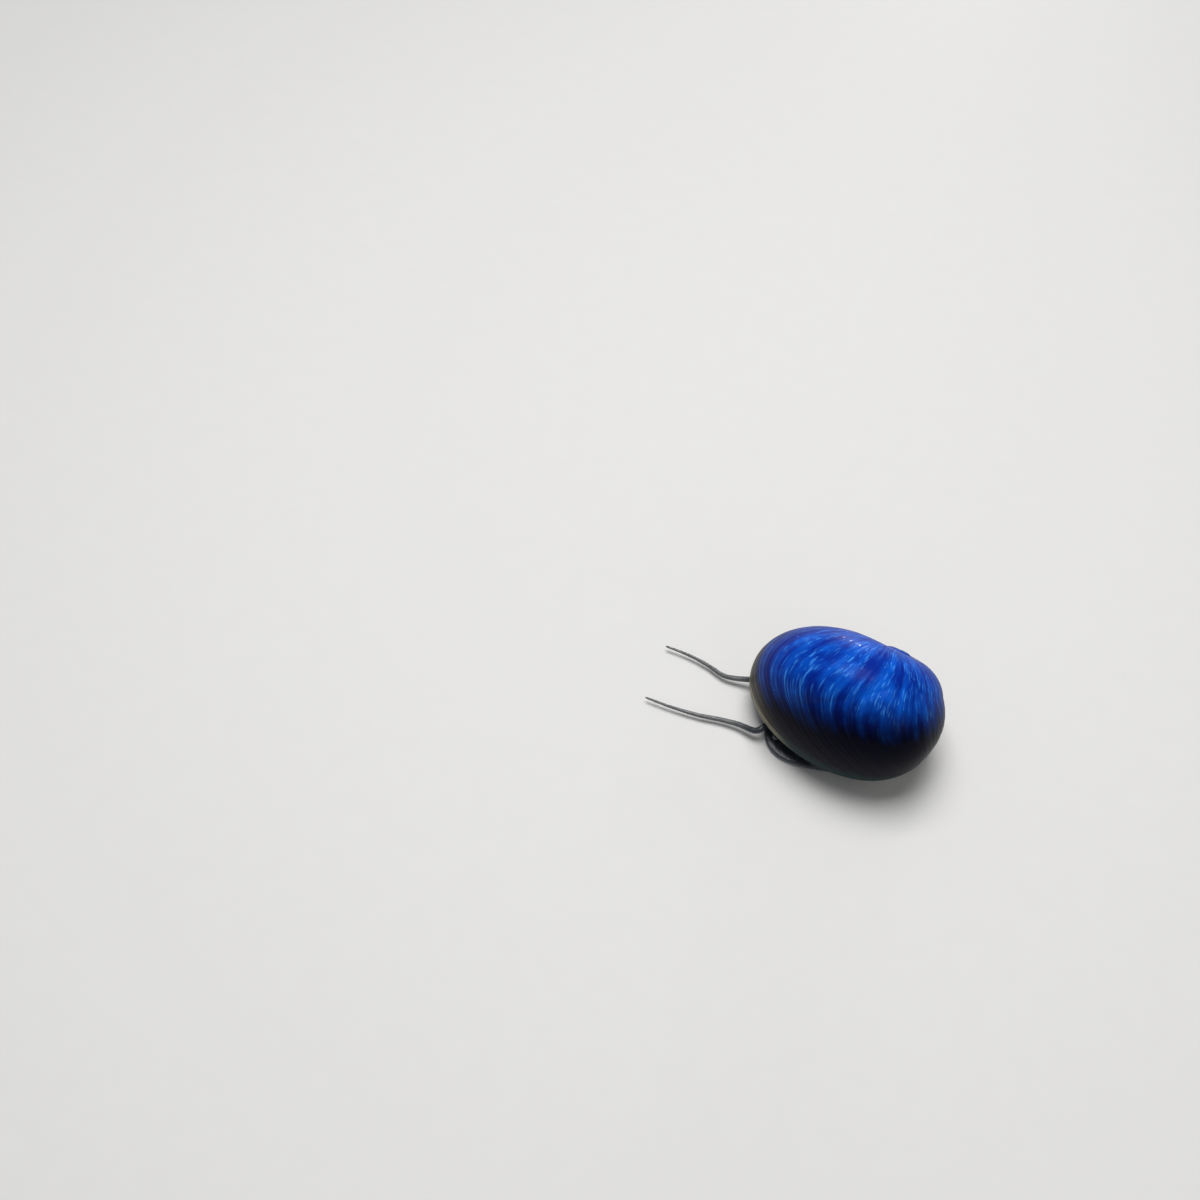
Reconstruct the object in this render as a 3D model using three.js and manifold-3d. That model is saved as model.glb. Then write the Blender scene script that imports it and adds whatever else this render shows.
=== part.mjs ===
// A nerite snail crawling with its shell close to the ground and both tentacles held forward.
// Millimetres. +X is forward, +Y is the snail's left, +Z is up, and the sole lies on z = 0.
import * as THREE from 'three';
import { mergeVertices } from 'three/addons/utils/BufferGeometryUtils.js';
import Module from 'manifold-3d';

const wasm = await Module();
wasm.setup();

const degree = Math.PI / 180;
const gap = 0.3; // clear space between pieces that touch

// Shell: an egg-shaped growth stage turns about the coiling axis and shrinks as it goes back in time.
const lipHeight = 3.2; // height of the shell's mouth above the ground
const pole = new THREE.Vector3(-5.19, -4.89, 6.89); // tip of the spiral, measured from the lip plane
const axisHeading = -116 * degree; // the coiling axis points to the right and a little back
const axisRise = 34.9 * degree;
const shrink = 0.26; // natural logarithm of the size lost with each radian of turning
const eggCentre = new THREE.Vector3(1.29, 0.47, 2.56);
const eggHalf = new THREE.Vector3(12.23, 7.78, 9.13);
const eggYaw = -33.8 * degree;
const eggPitch = 23 * degree;
const shellTurns = 1.75;
const stagesPerTurn = 44;
const shellHeart = new THREE.Vector3(0.8, 0.2, 4.2); // every part of the surface is seen from here
const shellWidthSegments = 56;
const shellHeightSegments = 30;
const wallThickness = 1.0;
const lipBand = 1.2; // height of the rim that is its own piece
const recessDepth = 3.0; // how far the soft body reaches into the shell
const deckX = -2.8; // front edge of the shelf that half closes the shell's mouth
const spireRadius = 2.9;

// Soft body
const footMiddle = [0.4, 0.35];
const footHalf = [9.35, 6.3];
const footThickness = 1.3;
const footFrontSquareness = 3.2; // 2 is an oval; the front of the foot is broad
const padRounding = 0.5;
const padSpread = 1.12; // above 1 the side of a pad stands upright for a part of its height
const padFlat = 0.86; // share of the lower half above which a pad is cut off flat
const columnFrontX = 6.3;
const columnInset = 2.7; // distance of the column from the shell's outer face
const headMiddle = [8.7, -1.0];
const headHalf = [2.3, 3.2];
const headTop = 2.85;
const tentacleRadius = 0.46;
const tentacleTipRadius = 0.16;
const tentacleSides = 10;
const tentacleLengths = 8;
const tentaclePieces = ['base', 'middle', 'tip'];
const tentacleRoutes = {
  left: [
    [9.75, 2.45, 1.8],
    [10.7, 2.95, 1.5],
    [12.6, 2.1, 1.05],
    [14.8, 1.6, 0.85],
    [17.6, 1.3, 0.8],
    [21.0, 0.6, 0.8],
    [24.2, -0.3, 0.8],
  ],
  right: [
    [10.5, -4.1, 2.0],
    [12.3, -4.2, 1.35],
    [14.9, -4.6, 0.9],
    [17.2, -6.0, 0.8],
    [19.6, -7.1, 0.8],
    [22.6, -8.0, 0.8],
  ],
};
const snoutMiddle = [9.9, -1.5];
const snoutHalf = [1.15, 2.1];
const snoutBottom = 0.3;
const mouthHalf = [0.5, 0.7, 0.16];
const mouthHeight = 0.7;
const eyeRadius = 0.4;
const eyestalkLength = 0.75;
const eyestalkRadius = 0.5;
const eyestalkTaper = 0.8;
const eyestalkAim = [0.25, 1, 0.12]; // on the left; the right one is its mirror image
const eyestalkForward = -0.8; // from the middle of the head
const eyestalkOut = 3.58;
const eyestalkHeight = 2.25;

// Operculum: the limy lid carried on the back of the foot
const lidMiddle = [-5.6, 0.6];
const lidHalf = [2.6, 3.7];
const lidThickness = 0.7;

// Numbers of flat faces round and along the rounded pieces
const footSegments = [40, 12];
const smallSegments = [28, 12];
const spireSegments = [24, 16];
const eyeSegments = [16, 10];
const far = 40; // beyond the whole snail, for blocks that cut

const colours = {
  shell: 0x14409a,
  lip: 0x4a4c3c,
  deck: 0xb9b7a2,
  skin: 0x15181d,
  tentacle: 0x3b3e42,
  eye: 0x050505,
  lid: 0x7d6f62,
};

const snail = new THREE.Group();

function addPiece(name, geometry, colour, roughness, metalness = 0) {
  const material = new THREE.MeshStandardMaterial({ color: colour, roughness, metalness });
  const mesh = new THREE.Mesh(geometry, material);
  mesh.name = name;
  snail.add(mesh);
}

// Closed solids from three.js shapes, and back again after a cut
function toSolid(geometry) {
  const bare = geometry.clone();
  bare.deleteAttribute('normal');
  bare.deleteAttribute('uv');
  const merged = mergeVertices(bare, 1e-5);
  return new wasm.Manifold(new wasm.Mesh({
    numProp: 3,
    vertProperties: new Float32Array(merged.attributes.position.array),
    triVerts: new Uint32Array(merged.index.array),
  }));
}

function toGeometry(solid) {
  const largest = solid.decompose().reduce((best, one) => (one.volume() > best.volume() ? one : best));
  const mesh = largest.getMesh();
  const geometry = new THREE.BufferGeometry();
  geometry.setAttribute('position', new THREE.BufferAttribute(new Float32Array(mesh.vertProperties), 3));
  geometry.setIndex(Array.from(mesh.triVerts));
  return geometry;
}

function block(low, high) {
  const size = high.map((value, i) => value - low[i]);
  const box = new THREE.BoxGeometry(...size);
  box.translate(...low.map((value, i) => value + size[i] / 2));
  return toSolid(box);
}

function movePoints(geometry, place) {
  const position = geometry.attributes.position;
  const point = new THREE.Vector3();
  for (let i = 0; i < position.count; i += 1) {
    point.fromBufferAttribute(position, i);
    place(point);
    position.setXYZ(i, point.x, point.y, point.z);
  }
  return geometry;
}

// Shell
const coilAxis = new THREE.Vector3(
  Math.cos(axisRise) * Math.cos(axisHeading),
  Math.cos(axisRise) * Math.sin(axisHeading),
  Math.sin(axisRise),
);

const growthStages = [];
for (let i = 0; i <= shellTurns * stagesPerTurn; i += 1) {
  const turned = (i * 2 * Math.PI) / stagesPerTurn;
  const size = Math.exp(-shrink * turned);
  const turn = new THREE.Quaternion().setFromAxisAngle(coilAxis, turned);
  const egg = new THREE.Quaternion().setFromEuler(new THREE.Euler(0, eggPitch, eggYaw, 'ZYX'));
  const centre = eggCentre.clone().sub(pole).applyQuaternion(turn).multiplyScalar(size).add(pole);
  growthStages.push({ centre, size, untwist: turn.clone().multiply(egg).invert() });
}

// Distance from the heart to the outermost growth stage that a ray meets
function shellReach(direction) {
  let reach = 0;
  for (const stage of growthStages) {
    const half = eggHalf.clone().multiplyScalar(stage.size);
    const from = shellHeart.clone().sub(stage.centre).applyQuaternion(stage.untwist).divide(half);
    const along = direction.clone().applyQuaternion(stage.untwist).divide(half);
    const a = along.lengthSq();
    const b = from.dot(along);
    const c = from.lengthSq() - 1;
    const inside = b * b - a * c;
    if (inside > 0) {
      reach = Math.max(reach, (-b + Math.sqrt(inside)) / a);
    }
  }
  return reach;
}

function shellSkin(inset) {
  const ball = new THREE.SphereGeometry(1, shellWidthSegments, shellHeightSegments);
  ball.rotateX(Math.PI / 2);
  movePoints(ball, (point) => {
    const direction = point.clone().normalize();
    point.copy(direction).multiplyScalar(shellReach(direction) - inset).add(shellHeart);
    point.z += lipHeight;
  });
  return toSolid(ball);
}

const outside = shellSkin(0);
const wallInside = shellSkin(wallThickness);
const aboveLip = block([-far, -far, lipHeight], [far, far, far]);
const recess = wallInside.intersect(block([deckX, -far, -far], [far, far, lipHeight + recessDepth]));
const shellWhole = outside.intersect(aboveLip).subtract(recess);

function ballAt(centre, radius, segments) {
  const ball = new THREE.SphereGeometry(radius, ...segments);
  ball.translate(centre.x, centre.y, centre.z);
  return toSolid(ball);
}
const spireCentre = pole.clone().add(new THREE.Vector3(0, 0, lipHeight));
const spireCut = ballAt(spireCentre, spireRadius, spireSegments);
const spireRoom = ballAt(spireCentre, spireRadius + gap, spireSegments);

const bandTop = lipHeight + lipBand;
const aboveBand = block([-far, -far, bandTop + gap], [far, far, far]);
const shellBody = shellWhole.intersect(aboveBand).subtract(spireRoom);
addPiece('shell_body_whorl', toGeometry(shellBody), colours.shell, 0.28);

const spire = outside.intersect(spireCut).intersect(aboveBand);
addPiece('shell_spire', toGeometry(spire), colours.shell, 0.28);

const lipRing = shellWhole.intersect(block([deckX + gap, -far, lipHeight], [far, far, bandTop]));
addPiece('shell_outer_lip', toGeometry(lipRing), colours.lip, 0.32);

const septum = shellWhole.intersect(block([-far, -far, lipHeight], [deckX, far, bandTop]));
addPiece('shell_septum', toGeometry(septum), colours.deck, 0.4);

// Soft body inside the shell's mouth
const footTop = footThickness + gap;
const columnTop = lipHeight + recessDepth - gap;
const column = shellSkin(columnInset)
  .intersect(block([deckX + gap, -far, footTop], [columnFrontX, far, columnTop]));
addPiece('body_column', toGeometry(column), colours.skin, 0.45);

const mantle = shellSkin(wallThickness + gap)
  .subtract(shellSkin(columnInset - gap).intersect(block([-far, -far, -far], [columnFrontX + gap, far, far])))
  .intersect(block([deckX + gap, -far, headTop + gap], [far, far, columnTop]));
addPiece('mantle_edge', toGeometry(mantle), colours.skin, 0.45);

// A low rounded pad with a flat underside
function pad(middle, half, low, high, segments, frontSquareness = 2) {
  const ball = new THREE.SphereGeometry(1, ...segments);
  ball.rotateX(Math.PI / 2);
  const waist = (low + high) / 2;
  movePoints(ball, (point) => {
    const rounded = Math.sign(point.z) * Math.abs(point.z) ** padRounding;
    const spread = Math.min(1, Math.hypot(point.x, point.y) * padSpread);
    const level = rounded < 0 ? Math.max(rounded, -padFlat) / padFlat : rounded;
    const around = Math.atan2(point.y, point.x);
    const power = 2 / (point.x > 0 ? frontSquareness : 2);
    const forward = Math.sign(Math.cos(around)) * Math.abs(Math.cos(around)) ** power;
    const sideways = Math.sign(Math.sin(around)) * Math.abs(Math.sin(around)) ** power;
    point.x = middle[0] + half[0] * spread * forward;
    point.y = middle[1] + half[1] * spread * sideways;
    point.z = waist + (level * (high - low)) / 2;
  });
  return toSolid(ball);
}

const foot = pad(footMiddle, footHalf, 0, footThickness, footSegments, footFrontSquareness);
addPiece('foot', toGeometry(foot), colours.skin, 0.5);

const headSolid = pad(headMiddle, headHalf, footTop, headTop, smallSegments)
  .intersect(block([columnFrontX + gap, -far, 0], [far, far, headTop]));
addPiece('head', toGeometry(headSolid), colours.skin, 0.45);

// The lid lies on the back of the foot, straight along its front edge
const lidWhole = pad(lidMiddle, lidHalf, footTop, footTop + lidThickness, smallSegments);
const lid = lidWhole.intersect(block([-far, -far, 0], [deckX - gap, far, far]));
addPiece('operculum', toGeometry(lid), colours.lid, 0.55);

// Tentacles: each is three lengths of one tapering curve
function taperedLength(curve, from, to) {
  const tube = new THREE.CylinderGeometry(1, 1, 1, tentacleSides, tentacleLengths);
  return movePoints(tube, (point) => {
    const along = from + (to - from) * (0.5 - point.y);
    const ahead = curve.getTangentAt(along);
    const side = new THREE.Vector3(0, 0, 1).cross(ahead).normalize();
    const up = ahead.clone().cross(side);
    const radius = tentacleRadius + (tentacleTipRadius - tentacleRadius) * along;
    const across = point.x * radius;
    const rise = point.z * radius;
    point.copy(curve.getPointAt(along)).addScaledVector(side, across).addScaledVector(up, rise);
  });
}

for (const [side, route] of Object.entries(tentacleRoutes)) {
  const curve = new THREE.CatmullRomCurve3(route.map((p) => new THREE.Vector3(...p)));
  const gapShare = gap / curve.getLength();
  tentaclePieces.forEach((piece, i) => {
    const from = i / tentaclePieces.length + (i > 0 ? gapShare / 2 : 0);
    const to = (i + 1) / tentaclePieces.length - (i < tentaclePieces.length - 1 ? gapShare / 2 : 0);
    addPiece(`tentacle_${side}_${piece}`, taperedLength(curve, from, to), colours.tentacle, 0.5);
  });
}

// Snout: a low crescent against the front of the foot, with the slit of the mouth in its front
const mouth = ballAt(new THREE.Vector3(), 1, eyeSegments)
  .scale(mouthHalf)
  .translate([snoutMiddle[0] + snoutHalf[0], snoutMiddle[1], mouthHeight]);
const roomyHalf = footHalf.map((value) => value + gap);
const roomTop = 2 * footThickness;
const footRoom = pad(footMiddle, roomyHalf, -footThickness, roomTop, footSegments, footFrontSquareness);
const snout = pad(snoutMiddle, snoutHalf, snoutBottom, footThickness, smallSegments)
  .subtract(footRoom)
  .subtract(mouth);
addPiece('snout', toGeometry(snout), colours.skin, 0.45);

// Eyestalks stand on the sides of the head, outside the tentacles
for (const [side, sign] of [['left', 1], ['right', -1]]) {
  const aim = new THREE.Vector3(eyestalkAim[0], sign * eyestalkAim[1], eyestalkAim[2]).normalize();
  const root = new THREE.Vector3(
    headMiddle[0] + eyestalkForward,
    headMiddle[1] + sign * eyestalkOut,
    eyestalkHeight,
  );
  const turn = new THREE.Quaternion().setFromUnitVectors(new THREE.Vector3(0, 1, 0), aim);
  const stalkEnd = eyestalkRadius * eyestalkTaper;
  const stalk = new THREE.CylinderGeometry(stalkEnd, eyestalkRadius, eyestalkLength, eyeSegments[0]);
  stalk.applyQuaternion(turn);
  stalk.translate(...root.clone().addScaledVector(aim, eyestalkLength / 2).toArray());
  addPiece(`eyestalk_${side}`, stalk, colours.skin, 0.45);
  const eye = new THREE.SphereGeometry(eyeRadius, ...eyeSegments);
  eye.translate(...root.clone().addScaledVector(aim, eyestalkLength + gap + eyeRadius).toArray());
  addPiece(`eye_${side}`, eye, colours.eye, 0.1);
}

export default snail;
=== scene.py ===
import math

import bpy
import numpy as np
from mathutils import Matrix, Vector, noise


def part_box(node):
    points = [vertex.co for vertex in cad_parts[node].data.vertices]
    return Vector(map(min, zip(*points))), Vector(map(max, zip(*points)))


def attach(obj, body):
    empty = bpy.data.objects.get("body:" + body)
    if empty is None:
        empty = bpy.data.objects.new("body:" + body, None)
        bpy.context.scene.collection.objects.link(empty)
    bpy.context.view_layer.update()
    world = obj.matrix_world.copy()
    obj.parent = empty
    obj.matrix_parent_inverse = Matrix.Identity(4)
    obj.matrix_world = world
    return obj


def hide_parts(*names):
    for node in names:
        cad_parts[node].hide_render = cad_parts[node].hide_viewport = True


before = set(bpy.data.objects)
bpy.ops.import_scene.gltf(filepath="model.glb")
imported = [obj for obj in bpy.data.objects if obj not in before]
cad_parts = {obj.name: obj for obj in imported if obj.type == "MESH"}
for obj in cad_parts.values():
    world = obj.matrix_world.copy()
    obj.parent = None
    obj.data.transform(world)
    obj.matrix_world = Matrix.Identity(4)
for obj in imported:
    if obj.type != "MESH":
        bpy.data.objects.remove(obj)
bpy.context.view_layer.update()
print("frame loaded")

mm = 0.001  # the model is worked out in millimetres and made in metres
lipHeight = float(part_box("shell_outer_lip")[0].z) / mm


def newMesh(name, points, faces, smooth=True):
    mesh = bpy.data.meshes.new(name)
    mesh.from_pydata([tuple(p) for p in np.asarray(points) * mm], [], faces)
    mesh.validate()
    mesh.update()
    if smooth:
        mesh.polygons.foreach_set("use_smooth", [True] * len(mesh.polygons))
    piece = bpy.data.objects.new(name, mesh)
    bpy.context.scene.collection.objects.link(piece)
    return piece


def loftFaces(ringCount, pointsInRing, closeStart=True, closeEnd=True):
    # rings of points in order, with one more point at each closed end
    faces = []
    for r in range(ringCount - 1):
        low, high = r * pointsInRing, (r + 1) * pointsInRing
        for i in range(pointsInRing):
            j = (i + 1) % pointsInRing
            faces.append((low + i, low + j, high + j, high + i))
    startPoint = ringCount * pointsInRing
    if closeStart:
        for i in range(pointsInRing):
            faces.append((startPoint, (i + 1) % pointsInRing, i))
    endPoint = startPoint + (1 if closeStart else 0)
    last = (ringCount - 1) * pointsInRing
    if closeEnd:
        for i in range(pointsInRing):
            faces.append((endPoint, last + i, last + (i + 1) % pointsInRing))
    return faces


def loft(name, rings):
    rings = [np.asarray(r, float) for r in rings]
    points = np.vstack(rings + [rings[0].mean(0), rings[-1].mean(0)])
    return newMesh(name, points, loftFaces(len(rings), len(rings[0])))


# Shell form: an egg-shaped growth stage turns about the coiling axis and shrinks back in time
shellForm = {
    "pole": (-5.19, -4.89, 6.89),  # tip of the spiral above the lip plane, mm
    "axisHeading": -116.0,
    "axisRise": 34.9,
    "shrink": 0.26,
    "eggCentre": (1.29, 0.47, 2.56),
    "eggHalf": (12.23, 7.78, 9.13),
    "eggYaw": -33.8,
    "eggPitch": 23.0,
    "turns": 1.75,
    "stages": 420,
    "heart": (0.8, 0.2, 4.2),
    "around": 420,
    "upward": 200,
    "ridgeHeight": 0.016,
    "ridgeSink": 1.2,  # ridges lie this many heights below the growth stages' surface
    "ridgeWaves": [(61, 0.0, 0.5), (97, 1.3, 0.3), (23, 0.4, 0.4)],  # count, shift and height
    "rimProfile": [(1.5, 2.9), (1.1, 2.2), (0.8, 1.2), (0.5, 0.5), (0.32, 0.18), (0.16, 0.03)],
    "fanCentre": (-4.84, -4.34, 7.20),  # the growth lines spread from here
    "fanAxis": (0.175, 0.406, -0.897),
    "fanSeam": (-0.35, -1.0, 0.0),  # towards the hidden side, where the newest shell meets the oldest
    "fanTwist": (-0.052, 0.0119),  # for each millimetre along the axis, and for its square
    "fanCurl": 0.0406,
}


def turnAbout(axis, angle):
    return np.array(Matrix.Rotation(angle, 3, Vector(axis)))


def growthStages():
    f = shellForm
    heading, rise = math.radians(f["axisHeading"]), math.radians(f["axisRise"])
    axis = (math.cos(rise) * math.cos(heading), math.cos(rise) * math.sin(heading), math.sin(rise))
    pole, centre = np.array(f["pole"]), np.array(f["eggCentre"])
    egg = turnAbout((0, 0, 1), math.radians(f["eggYaw"])) @ turnAbout((0, 1, 0), math.radians(f["eggPitch"]))
    stages = []
    for turned in np.linspace(0, f["turns"] * 2 * math.pi, f["stages"]):
        size = math.exp(-f["shrink"] * turned)
        turn = turnAbout(axis, turned)
        toBall = np.diag(1 / (np.array(f["eggHalf"]) * size)) @ (turn @ egg).T
        middle = pole + size * (turn @ (centre - pole))
        stages.append((toBall, toBall @ (np.array(f["heart"]) - middle)))
    return stages


stages = growthStages()


def shellReach(directions):
    # distance from the heart to the shell's surface
    reach = np.empty(len(directions))
    batch = 20000
    for start in range(0, len(directions), batch):
        some = directions[start:start + batch]
        table = np.full((len(stages), len(some)), -1.0)
        for i, (toBall, origin) in enumerate(stages):
            along = some @ toBall.T
            a = (along ** 2).sum(1)
            b = along @ origin
            inside = b * b - a * (origin @ origin - 1)
            hit = inside > 0
            table[i, hit] = (-b[hit] + np.sqrt(inside[hit])) / a[hit]
        best = table.argmax(0)
        near = np.clip(best, 1, len(stages) - 2)
        columns = np.arange(len(some))
        before, here, after = table[near - 1, columns], table[near, columns], table[near + 1, columns]
        bend = before - 2 * here + after
        good = (bend < -1e-9) & (before > 0) & (after > 0) & (best == near)
        shift = np.where(good, 0.5 * (before - after) / np.where(good, bend, 1), 0)
        shift = np.clip(shift, -0.5, 0.5)
        lift = np.where(good, -0.25 * (before - after) * shift, 0)
        reach[start:start + batch] = table[best, columns] + lift
    return reach


def directionsAt(around, upward):
    return np.stack([np.cos(upward) * np.cos(around), np.cos(upward) * np.sin(around), np.sin(upward)], -1)


def growthFan(points):
    # angle of the growth line through each point, its place round the seam, and its distance from the tip
    f = shellForm
    axis = np.array(f["fanAxis"]) / np.linalg.norm(f["fanAxis"])
    across = -np.array(f["fanSeam"])
    across -= axis * (across @ axis)
    across /= np.linalg.norm(across)
    other = np.cross(axis, across)
    place = points - np.array(f["fanCentre"])
    along, x, y = place @ axis, place @ across, place @ other
    radius = np.hypot(x, y)
    twist, twistMore = f["fanTwist"]
    angle = np.arctan2(y, x)
    turned = angle + twist * along + twistMore * along ** 2 + f["fanCurl"] * radius
    return turned, angle, np.linalg.norm(place, axis=1)


def lipAngles(around):
    # elevation from the heart at which the shell's surface meets the lip plane
    heart = np.array(shellForm["heart"])
    low, high = np.full(len(around), -1.3), np.full(len(around), 0.3)
    for _ in range(18):
        middle = (low + high) / 2
        directions = directionsAt(around, middle)
        reach = shellReach(directions)
        above = heart[2] + reach * directions[:, 2] > 0
        high = np.where(above, middle, high)
        low = np.where(above, low, middle)
    return (low + high) / 2


def inwardFrom(lip):
    # level directions from the lip towards its middle
    inward = lip.mean(0) - lip
    inward[:, 2] = 0
    return inward / np.linalg.norm(inward, axis=1, keepdims=True)


def makeShell():
    f = shellForm
    n, m = f["around"], f["upward"]
    sink = f["ridgeSink"] * f["ridgeHeight"]
    heart = np.array(f["heart"])
    around = np.arange(n) * 2 * math.pi / n
    lowest = lipAngles(around)
    share = np.arange(m) / m
    upward = lowest[None, :] + (math.pi / 2 - lowest[None, :]) * share[:, None]
    directions = directionsAt(np.broadcast_to(around, upward.shape), upward).reshape(-1, 3)
    reach = shellReach(directions)
    smooth = heart + directions * reach[:, None]
    fan, seamAngle, fromTip = growthFan(smooth)
    # fine growth ridges: none at the tip, at the lip's edge and along the seam
    ridges = sum(np.sin(fan * count + shift) * height for count, shift, height in f["ridgeWaves"])
    fade = np.clip(smooth[:, 2] / 0.8, 0, 1) * np.clip(fromTip / 3 - 0.2, 0, 1)
    fade *= np.clip((math.pi - abs(seamAngle)) * 4, 0, 1)
    reach = reach + (ridges * fade - f["ridgeSink"]) * f["ridgeHeight"]
    outer = (heart + directions * reach[:, None]).reshape(m, n, 3)
    outer[..., 2] += lipHeight
    lip = outer[0]
    inward = inwardFrom(lip)
    # the rim rounds under and the hollow rises inside it
    inner = [lip + inward * inset + np.array([0, 0, rise]) for inset, rise in f["rimProfile"]]
    rings = inner + list(outer)
    top = shellReach(np.array([[0, 0, 1.0]]))
    roof = inner[0].mean(0)
    peak = heart + np.array([0, 0, top[0] - sink + lipHeight])
    points = np.vstack(rings + [roof[None], peak[None]])
    faces = loftFaces(len(rings), n)
    shell = newMesh("shell", points, faces)
    local = points - np.array([0, 0, lipHeight])
    fanAll, _, fromTipAll = growthFan(local)
    fanPlace = np.stack([np.cos(fanAll), np.sin(fanAll), fromTipAll], -1)
    shell.data.attributes.new("fan", "FLOAT_VECTOR", "POINT").data.foreach_set(
        "vector", fanPlace.astype(np.float32).ravel())
    shell.data.attributes.new("height", "FLOAT", "POINT").data.foreach_set(
        "value", local[:, 2].astype(np.float32))
    rim = np.zeros(len(points))
    rim[:len(inner) * n] = 1
    shell.data.attributes.new("inside", "FLOAT", "POINT").data.foreach_set("value", rim.astype(np.float32))
    return shell, lip


def nodeMaterial(name):
    material = bpy.data.materials.new(name)
    material.use_nodes = True
    tree = material.node_tree
    return material, tree, tree.nodes["Principled BSDF"]


def addNode(tree, kind, **values):
    node = tree.nodes.new(kind)
    for key, value in values.items():
        if hasattr(node, key):
            setattr(node, key, value)
        else:
            node.inputs[key.replace("_", " ")].default_value = value
    return node


def ramp(tree, stops):
    node = tree.nodes.new("ShaderNodeValToRGB")
    elements = node.color_ramp.elements
    while len(elements) < len(stops):
        elements.new(0.5)
    for element, (place, colour) in zip(elements, stops):
        element.position = place
        element.color = (*colour, 1) if len(colour) == 3 else colour
    return node


def mixColours(tree, factor, first, second, blend="MIX"):
    node = tree.nodes.new("ShaderNodeMix")
    node.data_type = "RGBA"
    node.blend_type = blend
    for socket, value in ((0, factor), (6, first), (7, second)):
        if hasattr(value, "is_linked"):
            tree.links.new(value, node.inputs[socket])
        elif isinstance(value, tuple):
            node.inputs[socket].default_value = (*value, 1)
        else:
            node.inputs[socket].default_value = value
    return node.outputs[2]


def calc(tree, operation, first, second=0.0, third=0.0):
    node = tree.nodes.new("ShaderNodeMath")
    node.operation = operation
    for socket, value in zip(node.inputs, (first, second, third)):
        if hasattr(value, "is_linked"):
            tree.links.new(value, socket)
        else:
            socket.default_value = value
    return node.outputs[0]


def ramped(tree, value, start, end):
    node = tree.nodes.new("ShaderNodeMapRange")
    node.interpolation_type = "SMOOTHSTEP"
    node.inputs["From Min"].default_value = start
    node.inputs["From Max"].default_value = end
    tree.links.new(value, node.inputs["Value"])
    return node.outputs[0]


shellLook = {
    "topBlue": (0.0012, 0.022, 0.30),
    "brightBlue": (0.002, 0.10, 0.62),
    # painted shade: the near-black navy of the shaded lower flank
    "paintedShadeNavy": (0.0004, 0.0008, 0.0070),
    "stria": (0.05, 0.28, 0.85),
    "striaShare": 0.9,
    "dotBlue": (0.25, 0.55, 1.0),
    "dotShare": 0.6,
    "lipOlive": (0.055, 0.050, 0.034),
    "lipCream": (0.50, 0.46, 0.34),
    "baseTeal": (0.012, 0.038, 0.038),
    "rimDark": (0.004, 0.004, 0.005),
    "insideCream": (0.42, 0.42, 0.34),
    "lineCount": 42.0,
    "shadeToBlue": (0.5, 10.0),  # height over which the painted shade on the flank turns to blue, mm
    "leftShadeFall": 0.8,  # painted shade: how much lower the blue reaches for each mm to a side
    "rightShadeFall": 0.45,
    "backShadeFall": 0.15,
    "tealShare": 0.75,
    "lipShare": 0.85,
    "roughness": 0.40,
    "ior": 1.12,
    "coat": 0.07,
    "coatRoughness": 0.05,
    "coatIor": 1.3,
}


def lineNoise(tree, fan, count, along, detail, roughness, shift=0.0):
    # noise drawn out along the growth lines
    separate = tree.nodes.new("ShaderNodeSeparateXYZ")
    tree.links.new(fan, separate.inputs[0])
    combine = tree.nodes.new("ShaderNodeCombineXYZ")
    tree.links.new(calc(tree, "MULTIPLY_ADD", separate.outputs["X"], count, shift), combine.inputs["X"])
    tree.links.new(calc(tree, "MULTIPLY", separate.outputs["Y"], count), combine.inputs["Y"])
    tree.links.new(calc(tree, "MULTIPLY", separate.outputs["Z"], along), combine.inputs["Z"])
    node = addNode(tree, "ShaderNodeTexNoise", Scale=1.0, Detail=detail, Roughness=roughness)
    tree.links.new(combine.outputs[0], node.inputs["Vector"])
    return node.outputs["Fac"]


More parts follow.
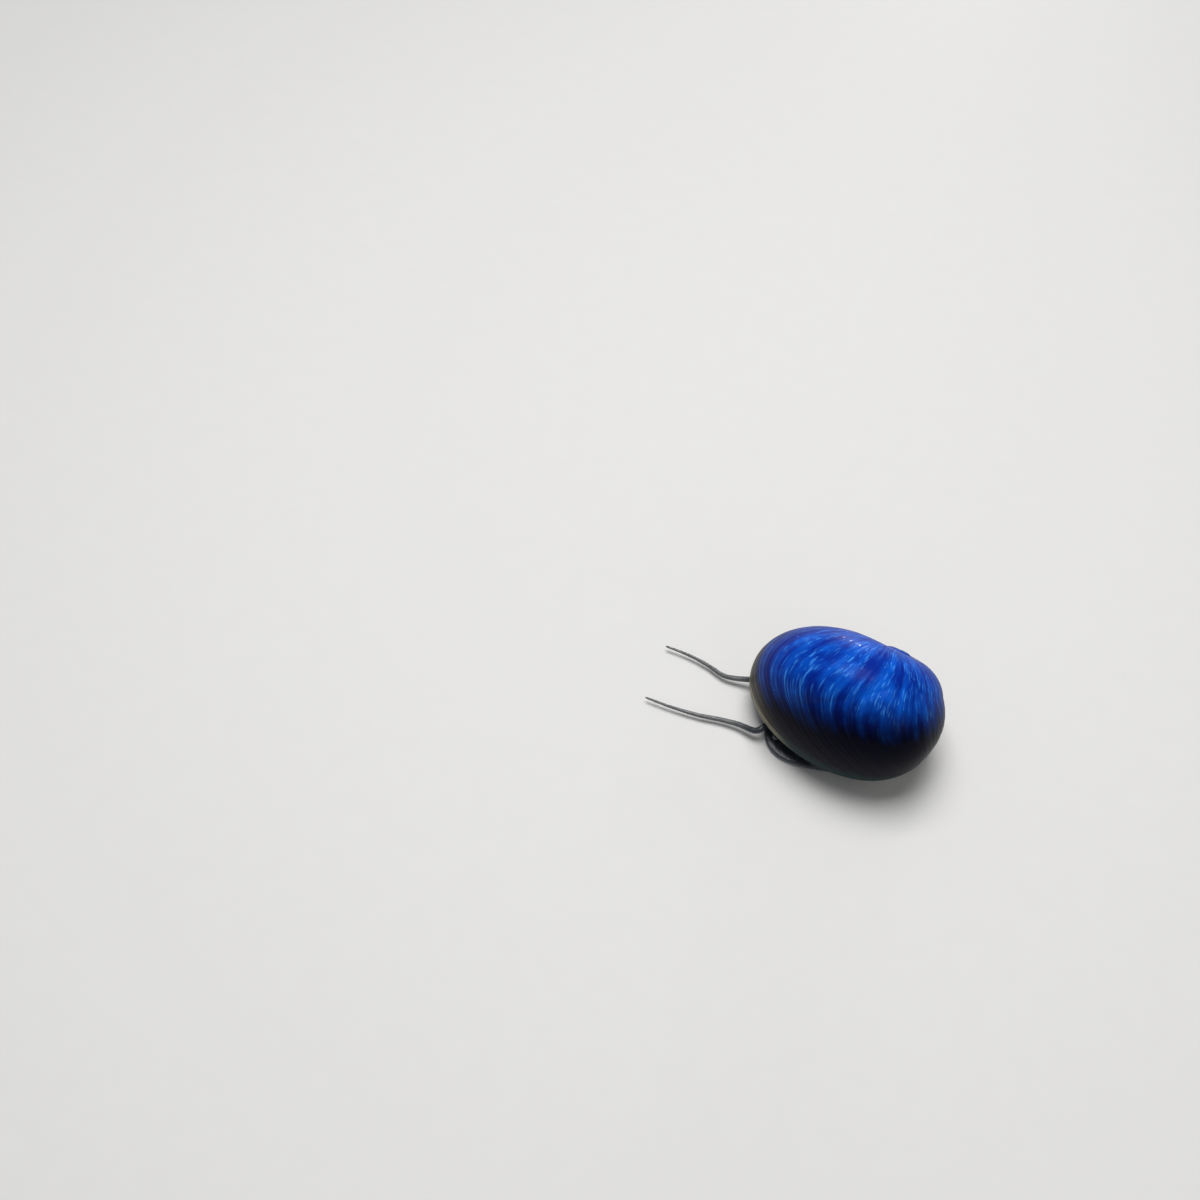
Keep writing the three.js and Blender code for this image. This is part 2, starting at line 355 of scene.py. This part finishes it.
def shellMaterial():
    look = shellLook
    material, tree, shader = nodeMaterial("shellBlue")
    fan = addNode(tree, "ShaderNodeAttribute", attribute_name="fan").outputs["Vector"]
    height = addNode(tree, "ShaderNodeAttribute", attribute_name="height").outputs["Fac"]
    inside = addNode(tree, "ShaderNodeAttribute", attribute_name="inside").outputs["Fac"]
    place = tree.nodes.new("ShaderNodeTexCoord").outputs["Object"]
    separate = tree.nodes.new("ShaderNodeSeparateXYZ")
    tree.links.new(place, separate.inputs[0])
    x = calc(tree, "MULTIPLY", separate.outputs["X"], 1000.0)
    y = calc(tree, "MULTIPLY", separate.outputs["Y"], 1000.0)
    fine = lineNoise(tree, fan, look["lineCount"], 1.0, 3.0, 0.55)
    broad = lineNoise(tree, fan, look["lineCount"] * 0.2, 0.16, 3.0, 0.5, 7.0)
    cloud = addNode(tree, "ShaderNodeTexNoise", Scale=330.0, Detail=4.0, Roughness=0.55)
    speck = addNode(tree, "ShaderNodeTexVoronoi", Scale=900.0)
    for node in (cloud, speck):
        tree.links.new(place, node.inputs["Vector"])
    # deep blue on the back, brighter in drawn-out patches; the near black low on the left flank is painted
    # shade, added below
    cloudy = cloud.outputs["Fac"]
    mottled = calc(tree, "ADD", calc(tree, "MULTIPLY", broad, 0.6), calc(tree, "MULTIPLY", cloudy, 0.4))
    blue = mixColours(tree, ramped(tree, mottled, 0.38, 0.66), look["topBlue"], look["brightBlue"])
    striae = calc(tree, "MULTIPLY", ramped(tree, fine, 0.53, 0.68), ramped(tree, broad, 0.35, 0.6))
    blue = mixColours(tree, calc(tree, "MULTIPLY", striae, look["striaShare"]), blue, look["stria"])
    dots = calc(tree, "MULTIPLY", ramped(tree, speck.outputs["Distance"], 0.12, 0.04),
                ramped(tree, cloudy, 0.52, 0.6))
    blue = mixColours(tree, calc(tree, "MULTIPLY", dots, look["dotShare"]), blue, look["dotBlue"])
    # painted shade: the colour falls off down the left flank, and less towards the right and the back
    leftward = calc(tree, "MAXIMUM", y, 0.0)
    shadeDrop = calc(tree, "SUBTRACT", height, calc(tree, "MULTIPLY", leftward, look["leftShadeFall"]))
    rightward = calc(tree, "MAXIMUM", calc(tree, "SUBTRACT", -2.5, y), 0.0)
    backward = calc(tree, "MAXIMUM", calc(tree, "SUBTRACT", -3.0, x), 0.0)
    shadeDrop = calc(tree, "SUBTRACT", shadeDrop, calc(tree, "MULTIPLY", rightward, look["rightShadeFall"]))
    shadeDrop = calc(tree, "SUBTRACT", shadeDrop, calc(tree, "MULTIPLY", backward, look["backShadeFall"]))
    shadeDrop = calc(tree, "ADD", shadeDrop, calc(tree, "MULTIPLY", calc(tree, "SUBTRACT", mottled, 0.5), 6.0))
    # painted shade: the flank turns near-black navy where it lies low and to the left
    colour = mixColours(tree, ramped(tree, shadeDrop, *look["shadeToBlue"]), look["paintedShadeNavy"], blue)
    # pale teal at the foot of the left flank
    tealPart = calc(tree, "MULTIPLY", ramped(tree, height, 2.6, 0.6), ramped(tree, y, 2.0, 6.0))
    colour = mixColours(tree, calc(tree, "MULTIPLY", tealPart, look["tealShare"]), colour, look["baseTeal"])
    # olive front edge with cream and dark lines along the lip
    front = calc(tree, "SUBTRACT", x, calc(tree, "MULTIPLY", height, 0.9))
    lipPart = ramped(tree, calc(tree, "ADD", front, calc(tree, "MULTIPLY", broad, 3.0)), 6.5, 11.0)
    lipPart = calc(tree, "MULTIPLY", lipPart, ramped(tree, height, 7.5, 2.5))
    band = calc(tree, "ADD", height, calc(tree, "MULTIPLY", cloudy, 0.15))
    lipRamp = ramp(tree, [(0.06, look["rimDark"]), (0.11, look["lipCream"]), (0.17, look["rimDark"]),
                          (0.24, look["lipCream"]), (0.31, look["lipOlive"]), (0.40, look["lipCream"]),
                          (0.47, look["lipOlive"]), (1.0, look["lipOlive"])])
    tree.links.new(calc(tree, "DIVIDE", band, 3.0), lipRamp.inputs[0])
    lipLines = calc(tree, "MULTIPLY", ramped(tree, fine, 0.5, 0.7), 0.35)
    olive = mixColours(tree, lipLines, lipRamp.outputs[0], look["lipCream"])
    colour = mixColours(tree, calc(tree, "MULTIPLY", lipPart, look["lipShare"]), colour, olive)
    colour = mixColours(tree, ramped(tree, height, 0.3, 0.08), colour, look["rimDark"])
    colour = mixColours(tree, inside, colour, look["insideCream"])
    tree.links.new(colour, shader.inputs["Base Color"])
    bump = addNode(tree, "ShaderNodeBump", Strength=0.3, Distance=0.00008)
    tree.links.new(fine, bump.inputs["Height"])
    tree.links.new(bump.outputs[0], shader.inputs["Normal"])
    rough = calc(tree, "MULTIPLY_ADD", fine, 0.2, look["roughness"] - 0.1)
    tree.links.new(rough, shader.inputs["Roughness"])
    shader.inputs["IOR"].default_value = look["ior"]
    shader.inputs["Coat IOR"].default_value = look["coatIor"]
    shader.inputs["Coat Weight"].default_value = look["coat"]
    shader.inputs["Coat Roughness"].default_value = look["coatRoughness"]
    return material


def finishPiece(piece, material, nodes):
    piece.data.materials.clear()
    piece.data.materials.append(material)
    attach(piece, "root")
    if nodes:
        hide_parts(*nodes)


shell, lipLine = makeShell()
print("shell made", len(shell.data.polygons))
finishPiece(shell, shellMaterial(), ["shell_body_whorl", "shell_spire", "shell_outer_lip"])

# Soft body
skinForm = {
    "footMiddle": (0.4, 0.35),
    "footHalf": (9.3, 6.25),
    "footThickness": 1.3,
    "footFrontSquareness": 3.2,
    "columnMiddle": (1.9, 0.2),
    "columnHalf": (4.3, 6.0),
    "headMiddle": (8.7, -1.0),
    "headHalf": (2.3, 3.2),
    "headBottom": 1.0,
    "headTop": 2.85,
    "snoutMiddle": (9.9, -1.5),
    "snoutHalf": (1.1, 2.05),
    "voxel": 0.078,
    "grain": 0.018,  # height of the skin's fine folds
    "mouthHeight": 0.7,
    "mouthHalfWidth": 0.65,
    "mouthDepth": 0.42,
    "lipSwell": 0.1,
    "tentacleRings": 0.006,  # height of the fine rings round the tentacles
    "inset": 0.03,  # keeps the folds inside the part's outline
    "tentacleRadius": 0.45,
    "tentacleTipRadius": 0.17,
    "columnProfile": [(0.8, 1.1), (1.3, 1.02), (2.0, 0.96), (3.0, 1.0), (4.5, 1.02), (5.8, 0.9)],
    "mantleProfile": [(1.9, 0.05), (1.45, 0.3), (1.5, 0.8), (1.8, 1.8), (2.4, 2.3)],
    "mantleBack": -2.4,
    "eyestalkOut": 3.58,  # from the head's middle to each side
    "eyestalkBack": 0.8,
    "eyestalkHeight": 2.25,
    "eyestalkRadii": (0.62, 0.4),
}

skinLook = {
    "darkest": (0.006, 0.009, 0.016),
    "dark": (0.022, 0.03, 0.045),
    "spots": (0.08, 0.11, 0.16),
    "tentacleDark": (0.03, 0.032, 0.036),
    "tentaclePale": (0.16, 0.165, 0.17),
    "rim": (0.10, 0.14, 0.19),
    "roughness": 0.42,
    "coat": 0.4,
    "coatRoughness": 0.25,
}

tentacleRoutes = {
    "left": [(8.9, 1.2, 1.9), (9.75, 2.45, 1.8), (10.7, 2.95, 1.5), (12.6, 2.1, 1.05), (14.8, 1.6, 0.85),
             (17.6, 1.3, 0.8), (21.0, 0.6, 0.8), (24.1, -0.3, 0.8)],
    "right": [(9.2, -3.2, 2.1), (10.5, -4.1, 2.0), (12.3, -4.2, 1.35), (14.9, -4.6, 0.9), (17.2, -6.0, 0.8),
              (19.6, -7.1, 0.8), (22.5, -8.0, 0.8)],
}


def signedPower(values, power):
    return np.sign(values) * np.abs(values) ** power


def padRings(middle, half, low, high, frontSquareness=2.0, gentleTop=False, count=96, rows=16):
    rings = []
    angles = np.arange(count) * 2 * math.pi / count
    power = 2 / np.where(np.cos(angles) > 0, frontSquareness, 2.0)
    forward = signedPower(np.cos(angles), power)
    sideways = signedPower(np.sin(angles), power)
    for t in np.linspace(0.04, math.pi - 0.04, rows):
        level = -math.cos(t)
        gentle = gentleTop and level > 0  # the top rises softly from the rim
        spread = math.sin(t) if gentle else min(1.0, math.sin(t) * 1.1)
        rise = level if gentle else math.copysign(abs(level) ** 0.55, level)
        z = low if rise < -0.8 else (low + high) / 2 + rise * (high - low) / 2
        rings.append(np.stack([middle[0] + half[0] * spread * forward,
                               middle[1] + half[1] * spread * sideways, np.full(count, z)], -1))
    return rings


def routeCurve(points, steps):
    # smooth curve through the points, evenly stepped
    p = np.array(points)
    p = np.vstack([2 * p[0] - p[1], p, 2 * p[-1] - p[-2]])
    out = []
    for i in range(1, len(p) - 2):
        for t in np.linspace(0, 1, 24, endpoint=False):
            a, b, c, d = p[i - 1:i + 3]
            out.append(0.5 * (2 * b + (c - a) * t + (2 * a - 5 * b + 4 * c - d) * t ** 2
                              + (3 * b - a - 3 * c + d) * t ** 3))
    out.append(p[-2])
    out = np.array(out)
    length = np.r_[0, np.cumsum(np.linalg.norm(np.diff(out, axis=0), axis=1))]
    even = np.linspace(0, length[-1], steps)
    return np.stack([np.interp(even, length, out[:, k]) for k in range(3)], -1)


def tubeRings(points, radii, count=20):
    ahead = np.gradient(points, axis=0)
    ahead /= np.linalg.norm(ahead, axis=1, keepdims=True)
    side = np.cross((0, 0, 1.0), ahead)
    side /= np.linalg.norm(side, axis=1, keepdims=True)
    up = np.cross(ahead, side)
    angles = np.arange(count) * 2 * math.pi / count
    return [p + r * (np.cos(angles)[:, None] * s + np.sin(angles)[:, None] * u)
            for p, r, s, u in zip(points, radii, side, up)]


def joinPieces(pieces, name):
    bpy.ops.object.select_all(action="DESELECT")
    for piece in pieces:
        piece.select_set(True)
    bpy.context.view_layer.objects.active = pieces[0]
    bpy.ops.object.join()
    pieces[0].name = name
    return pieces[0]


def remesh(piece, voxel, smoothing):
    # voxels can't be small enough in metres, so the piece is grown for the remesh
    grow = 1000.0
    piece.data.transform(Matrix.Scale(grow, 4))
    modifier = piece.modifiers.new("voxels", "REMESH")
    modifier.mode = "VOXEL"
    modifier.voxel_size = voxel
    smooth = piece.modifiers.new("smooth", "SMOOTH")
    smooth.iterations = smoothing
    smooth.factor = 0.5
    bpy.context.view_layer.objects.active = piece
    for label in ("voxels", "smooth"):
        bpy.ops.object.modifier_apply(modifier=label)
    piece.data.transform(Matrix.Scale(1 / grow, 4))
    piece.data.polygons.foreach_set("use_smooth", [True] * len(piece.data.polygons))


def foldSkin(skin):
    # fine folds, rings round the tentacles, and the mouth between two soft lips
    f = skinForm
    mesh = skin.data
    count = len(mesh.vertices)
    points, normals = np.empty(count * 3), np.empty(count * 3)
    mesh.vertices.foreach_get("co", points)
    mesh.vertices.foreach_get("normal", normals)
    points, normals = points.reshape(-1, 3) / mm, normals.reshape(-1, 3)
    x, y, z = points.T
    grain = np.array([noise.noise(Vector(p) * 2.1) + 0.6 * noise.noise(Vector(p) * 5.3) for p in points])
    lifted = f["grain"] * grain * np.clip(z / 0.25, 0, 1)
    onTentacle = np.clip((x - 11.2) / 0.8, 0, 1)
    lifted += onTentacle * f["tentacleRings"] * np.sin(x * 19 + 5 * grain)
    mouthX = f["snoutMiddle"][0] + f["snoutHalf"][0]
    sideways, upward = y - f["snoutMiddle"][1], z - f["mouthHeight"]
    atMouth = np.exp(-((x - mouthX) / 0.6) ** 2 - (sideways / f["mouthHalfWidth"]) ** 4)
    lips, line = np.exp(-(upward / 0.28) ** 2), np.exp(-(upward / 0.1) ** 2)
    lifted += atMouth * (f["lipSwell"] * lips - f["mouthDepth"] * line)
    lifted -= f["inset"] * (z > 0.05)
    mesh.vertices.foreach_set("co", ((points + normals * lifted[:, None]) * mm).ravel())
    mesh.update()


def makeSkin(lip):
    f = skinForm
    footRings = padRings(f["footMiddle"], f["footHalf"], 0.0, f["footThickness"],
                         f["footFrontSquareness"], gentleTop=True, rows=44)
    parts = [loft("footPart", footRings)]
    count = 72
    angles = np.arange(count) * 2 * math.pi / count
    mid, half = f["columnMiddle"], f["columnHalf"]
    column = []
    for z, swell in f["columnProfile"]:
        column.append(np.stack([mid[0] + half[0] * swell * np.cos(angles),
                                mid[1] + half[1] * swell * np.sin(angles), np.full(count, z)], -1))
    parts.append(loft("columnPart", column))
    # mantle: fills the shell's mouth just inside the rim, in front of the shelf
    inward = inwardFrom(lip)
    mantle = []
    for inset, rise in f["mantleProfile"]:
        ring = lip + inward * inset + np.array([0, 0, rise])
        ring[:, 0] = np.maximum(ring[:, 0], f["mantleBack"])
        mantle.append(ring)
    parts.append(loft("mantlePart", mantle))
    parts.append(loft("headPart", padRings(f["headMiddle"], f["headHalf"], f["headBottom"], f["headTop"])))
    parts.append(loft("snoutPart", padRings(f["snoutMiddle"], f["snoutHalf"], 0.3, 1.9)))
    for side, route in tentacleRoutes.items():
        points = routeCurve(route, 90)
        along = np.linspace(0, 1, len(points))
        radii = f["tentacleRadius"] + (f["tentacleTipRadius"] - f["tentacleRadius"]) * along
        radii *= np.sqrt(np.clip((1.02 - along) / 0.05, 0.1, 1))
        parts.append(loft("tentaclePart", tubeRings(points, radii)))
    for sign in (1, -1):
        aim = np.array([0.25, sign, 0.12])
        aim /= np.linalg.norm(aim)
        root = np.array([f["headMiddle"][0] - f["eyestalkBack"],
                         f["headMiddle"][1] + sign * f["eyestalkOut"], f["eyestalkHeight"]])
        points = np.array([root + aim * t for t in np.linspace(-1.4, 1.35, 14)])
        parts.append(loft("eyestalkPart", tubeRings(points, np.linspace(*f["eyestalkRadii"], 14))))
    skin = joinPieces(parts, "soft_body")
    remesh(skin, f["voxel"], 5)
    foldSkin(skin)
    return skin


def skinMaterial():
    look = skinLook
    material, tree, shader = nodeMaterial("moistSkin")
    place = tree.nodes.new("ShaderNodeTexCoord").outputs["Object"]
    fine = addNode(tree, "ShaderNodeTexNoise", Scale=2600.0, Detail=6.0, Roughness=0.6)
    broad = addNode(tree, "ShaderNodeTexNoise", Scale=420.0, Detail=3.0)
    for node in (fine, broad):
        tree.links.new(place, node.inputs["Vector"])
    dark = mixColours(tree, broad.outputs["Fac"], look["darkest"], look["dark"])
    spots = ramp(tree, [(0.5, (0, 0, 0)), (0.72, (1, 1, 1))])
    tree.links.new(fine.outputs["Fac"], spots.inputs[0])
    body = mixColours(tree, calc(tree, "MULTIPLY", spots.outputs[0], 0.35), dark, look["spots"])
    separate = tree.nodes.new("ShaderNodeSeparateXYZ")
    tree.links.new(place, separate.inputs[0])
    out = ramped(tree, separate.outputs["X"], 0.0108, 0.0135)
    grey = mixColours(tree, fine.outputs["Fac"], look["tentacleDark"], look["tentaclePale"])
    colour = mixColours(tree, out, body, grey)
    edge = calc(tree, "MULTIPLY", ramped(tree, separate.outputs["Z"], 0.0007, 0.0003), fine.outputs["Fac"])
    colour = mixColours(tree, edge, colour, look["rim"])
    tree.links.new(colour, shader.inputs["Base Color"])
    bump = addNode(tree, "ShaderNodeBump", Strength=0.5, Distance=0.00008)
    tree.links.new(fine.outputs["Fac"], bump.inputs["Height"])
    tree.links.new(bump.outputs[0], shader.inputs["Normal"])
    shader.inputs["Roughness"].default_value = look["roughness"]
    shader.inputs["Coat Weight"].default_value = look["coat"]
    shader.inputs["Coat Roughness"].default_value = look["coatRoughness"]
    return material


skin = makeSkin(lipLine)
finishPiece(skin, skinMaterial(), [
    "body_column", "mantle_edge", "foot", "head", "snout", "eyestalk_left", "eyestalk_right",
    "tentacle_left_base", "tentacle_left_middle", "tentacle_left_tip",
    "tentacle_right_base", "tentacle_right_middle", "tentacle_right_tip"])
print("skin made", len(skin.data.polygons))


def limyMaterial(name, first, second, roughness):
    material, tree, shader = nodeMaterial(name)
    place = tree.nodes.new("ShaderNodeTexCoord").outputs["Object"]
    cloud = addNode(tree, "ShaderNodeTexNoise", Scale=600.0, Detail=5.0)
    tree.links.new(place, cloud.inputs["Vector"])
    tree.links.new(mixColours(tree, cloud.outputs["Fac"], first, second), shader.inputs["Base Color"])
    bump = addNode(tree, "ShaderNodeBump", Strength=0.3, Distance=0.0001)
    tree.links.new(cloud.outputs["Fac"], bump.inputs["Height"])
    tree.links.new(bump.outputs[0], shader.inputs["Normal"])
    shader.inputs["Roughness"].default_value = roughness
    return material


# Shelf that half closes the shell's mouth, and the lid on the back of the foot
shelfForm = {
    "frontX": -2.85,
    "inset": 0.75,
    "low": 0.16,  # above the lip plane
    "high": 1.15,
    "edgeRound": 0.35,
    "creams": ((0.45, 0.43, 0.33), (0.7, 0.68, 0.58)),
    "roughness": 0.35,
}

lidForm = {
    "middle": (-5.6, 0.6),
    "half": (2.55, 3.6),
    "frontX": -3.12,
    "low": 1.62,
    "high": 2.24,
    "rings": 7,
    "ringHeight": 0.05,
    "ringCentre": (-3.6, -0.4, 0),  # the growth rings start near the front edge
    "pointsAround": 140,
    "browns": ((0.10, 0.07, 0.05), (0.34, 0.26, 0.18)),
    "roughness": 0.45,
}

eyeLook = {
    "blacks": ((0.002, 0.002, 0.002), (0.012, 0.01, 0.01)),
    "roughness": 0.2,
}


def slabRings(outline, levels):
    # an outline at each (height, inset towards its middle)
    centre = outline.mean(0)
    rings = []
    for height, inset in levels:
        away = outline - centre
        length = np.linalg.norm(away[:, :2], axis=1, keepdims=True)
        ring = centre + away * np.maximum(length - inset, 0.02) / length
        ring[:, 2] = height
        rings.append(ring)
    return rings


def makeShelf(lip):
    f = shelfForm
    outline = lip + inwardFrom(lip) * f["inset"]
    outline = outline[outline[:, 0] < f["frontX"] - 0.05]
    order = np.argsort(np.arctan2(outline[:, 1], -(outline[:, 0] - f["frontX"] - 0.01)))
    outline = outline[order]
    front = np.linspace(outline[-1], outline[0], 60)[1:-1]
    front[:, 0] = f["frontX"]
    outline = np.vstack([outline, front])
    low, high, edge = lipHeight + f["low"], lipHeight + f["high"], f["edgeRound"]
    levels = [(low + 0.06, 3.0), (low + 0.02, 1.2), (low, edge)]
    for t in np.linspace(0, math.pi, 9)[1:-1]:
        levels.append((low + (high - low) * (1 - math.cos(t)) / 2, edge * (1 - math.sin(t))))
    levels += [(high, edge), (high, 2.0)]
    return loft("shelf", slabRings(outline, levels))


def makeLid():
    f = lidForm
    count = f["pointsAround"]
    angles = np.arange(count) * 2 * math.pi / count
    edge = np.stack([f["middle"][0] + f["half"][0] * np.cos(angles),
                     f["middle"][1] + f["half"][1] * np.sin(angles), np.zeros(count)], -1)
    edge[:, 0] = np.minimum(edge[:, 0], f["frontX"])
    centre = np.array(f["ringCentre"])
    rings = []
    for share in (0.05, 0.5, 0.94):
        rings.append(centre + (edge - centre) * share + np.array([0, 0, f["low"]]))
    rings.append(edge + np.array([0, 0, (f["low"] + f["high"]) / 2 - 0.08]))
    for share in np.linspace(0.985, 0.03, 60):
        wave = 0.5 + 0.5 * math.cos(share * f["rings"] * 2 * math.pi)
        ripple = f["ringHeight"] * wave * min(1, (1 - share) * 12)
        top = f["high"] - ripple - 0.12 * share ** 6
        rings.append(centre + (edge - centre) * share + np.array([0, 0, top]))
    return loft("lid", rings)


shelf = makeShelf(lipLine)
shelfCream = limyMaterial("shelfCream", *shelfForm["creams"], shelfForm["roughness"])
finishPiece(shelf, shelfCream, ["shell_septum"])
lid = makeLid()
lidBrown = limyMaterial("lidBrown", *lidForm["browns"], lidForm["roughness"])
finishPiece(lid, lidBrown, ["operculum"])
print("shelf and lid made")

eyeBlack = limyMaterial("eyeBlack", *eyeLook["blacks"], eyeLook["roughness"])
for node in ("eye_left", "eye_right"):
    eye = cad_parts[node]
    eye.data.materials.clear()
    eye.data.materials.append(eyeBlack)
print("eyes coloured")

# Floor, light and camera
stageLook = {
    "floorColour": (0.80, 0.79, 0.77),
    "floorHalf": 1.2,
    "worldStrength": 0.19,
    "worldTint": (0.92, 0.95, 1.0),
    "lamps": {  # place, size and power
        "keyLight": ((0.03, -0.07, 0.40), 0.24, 1.45),
        "glintLight": ((-0.03, -0.33, 0.02), 0.02, 0.2),
        "fillLight": ((-0.25, 0.30, 0.25), 0.25, 0.12),
    },
}

view = {
    "lens": 50.0,
    "sensor": 36.0,
    "eye": (16.56, 107.53, 168.32),
    "heading": 96.95,  # where the camera stands, round from the snail's front, degrees
    "rise": 53.9,
    "roll": 1.1,
}


def makeFloor():
    half = stageLook["floorHalf"]
    mesh = bpy.data.meshes.new("floor")
    corners = [(-half, -half, 0), (half, -half, 0), (half, half, 0), (-half, half, 0)]
    mesh.from_pydata(corners, [], [(0, 1, 2, 3)])
    floor = bpy.data.objects.new("floor", mesh)
    bpy.context.scene.collection.objects.link(floor)
    material, tree, shader = nodeMaterial("paleFloor")
    place = tree.nodes.new("ShaderNodeTexCoord").outputs["Object"]
    grain = addNode(tree, "ShaderNodeTexNoise", Scale=300.0, Detail=4.0)
    tree.links.new(place, grain.inputs["Vector"])
    tone = stageLook["floorColour"]
    tree.links.new(mixColours(tree, grain.outputs["Fac"], tuple(c * 0.97 for c in tone), tone),
                   shader.inputs["Base Color"])
    shader.inputs["Roughness"].default_value = 0.7
    mesh.materials.append(material)


def addLight(name, place, size, power, aim=(0, 0, 0.006)):
    data = bpy.data.lights.new(name, "AREA")
    data.size = size
    data.energy = power
    lamp = bpy.data.objects.new(name, data)
    lamp.location = place
    lamp.rotation_euler = (Vector(aim) - Vector(place)).to_track_quat("-Z", "Y").to_euler()
    bpy.context.scene.collection.objects.link(lamp)


def makeCamera():
    rise, heading, roll = (math.radians(view[k]) for k in ("rise", "heading", "roll"))
    back = Vector((math.cos(rise) * math.cos(heading), math.cos(rise) * math.sin(heading), math.sin(rise)))
    right = Vector((0, 0, 1)).cross(back).normalized()
    up = back.cross(right)
    tiltedRight = right * math.cos(roll) + up * math.sin(roll)
    tiltedUp = up * math.cos(roll) - right * math.sin(roll)
    data = bpy.data.cameras.new("camera")
    data.lens = view["lens"]
    data.sensor_width = view["sensor"]
    data.clip_start = 0.005
    camera = bpy.data.objects.new("camera", data)
    matrix = Matrix((tiltedRight, tiltedUp, back)).transposed().to_4x4()
    matrix.translation = Vector(view["eye"]) * mm
    camera.matrix_world = matrix
    bpy.context.scene.collection.objects.link(camera)
    bpy.context.scene.camera = camera


def makeWorld():
    world = bpy.data.worlds.new("softRoom")
    world.use_nodes = True
    background = world.node_tree.nodes["Background"]
    background.inputs["Color"].default_value = (*stageLook["worldTint"], 1)
    background.inputs["Strength"].default_value = stageLook["worldStrength"]
    bpy.context.scene.world = world


bpy.context.scene.view_settings.view_transform = "Standard"
makeFloor()
makeWorld()
for name, (place, size, power) in stageLook["lamps"].items():
    addLight(name, place, size, power)
makeCamera()
print("stage made")
